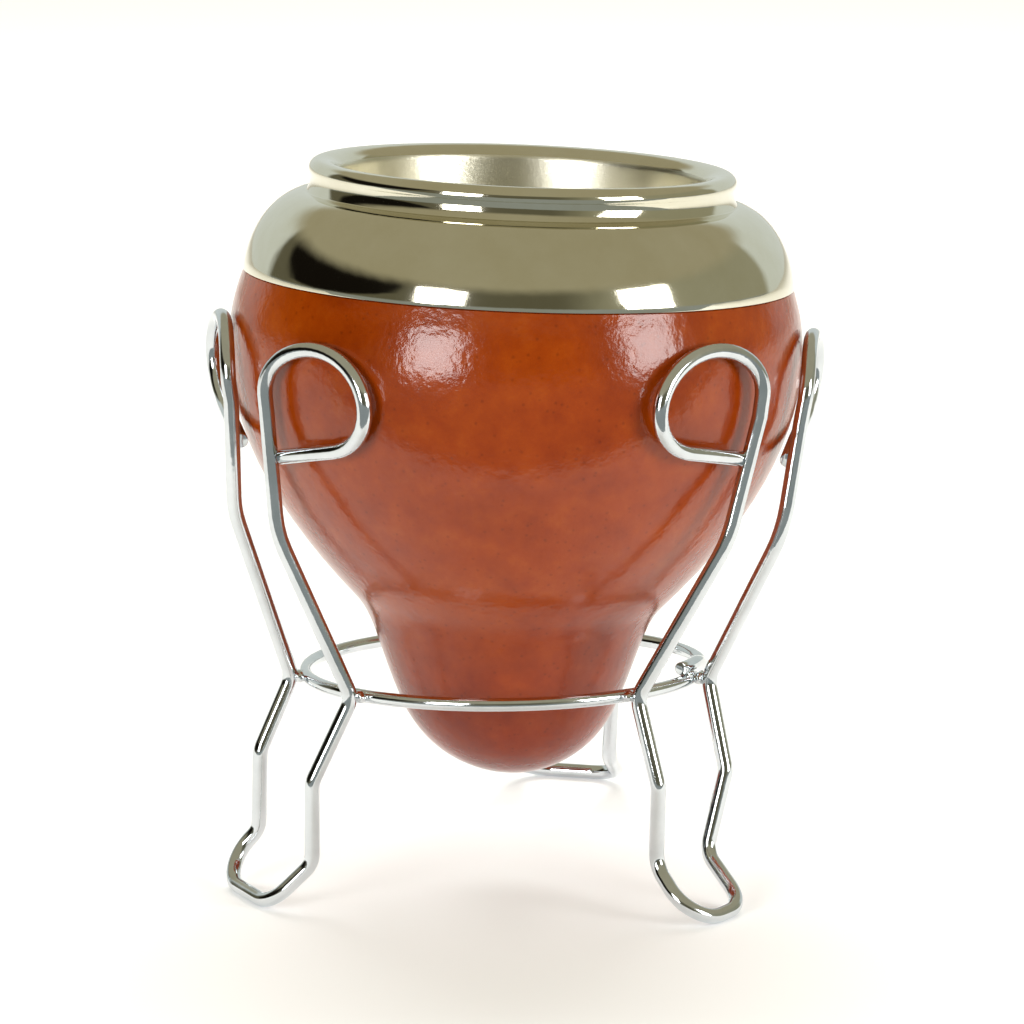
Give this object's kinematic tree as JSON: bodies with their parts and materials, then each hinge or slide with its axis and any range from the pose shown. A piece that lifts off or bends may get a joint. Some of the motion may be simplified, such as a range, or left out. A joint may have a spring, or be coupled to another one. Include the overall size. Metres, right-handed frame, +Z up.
{
  "type": "mate gourd cup on wire stand",
  "caption": "Hollow calabash drinking cup with a rolled metal collar round its mouth, held upright by a bent-wire stand with looped grips and feet.",
  "frame": {"origin": "on the floor, under the middle of the whole object's box", "axes": "+Z up, -Y the side seen between the two front legs, +X to the right as seen from there"},
  "size_m": [0.0974, 0.1002, 0.1158],
  "materials": {
    "gourd": "dyed calabash under clear gloss lacquer",
    "collar": "polished warm nickel silver",
    "wire": "bright chrome plate"
  },
  "bodies": {
    "root": {"gourd": "gourd", "collar": "collar", "leg_left": "wire", "leg_right": "wire", "leg_rear": "wire", "ring": "wire"}
  },
  "joints": []
}
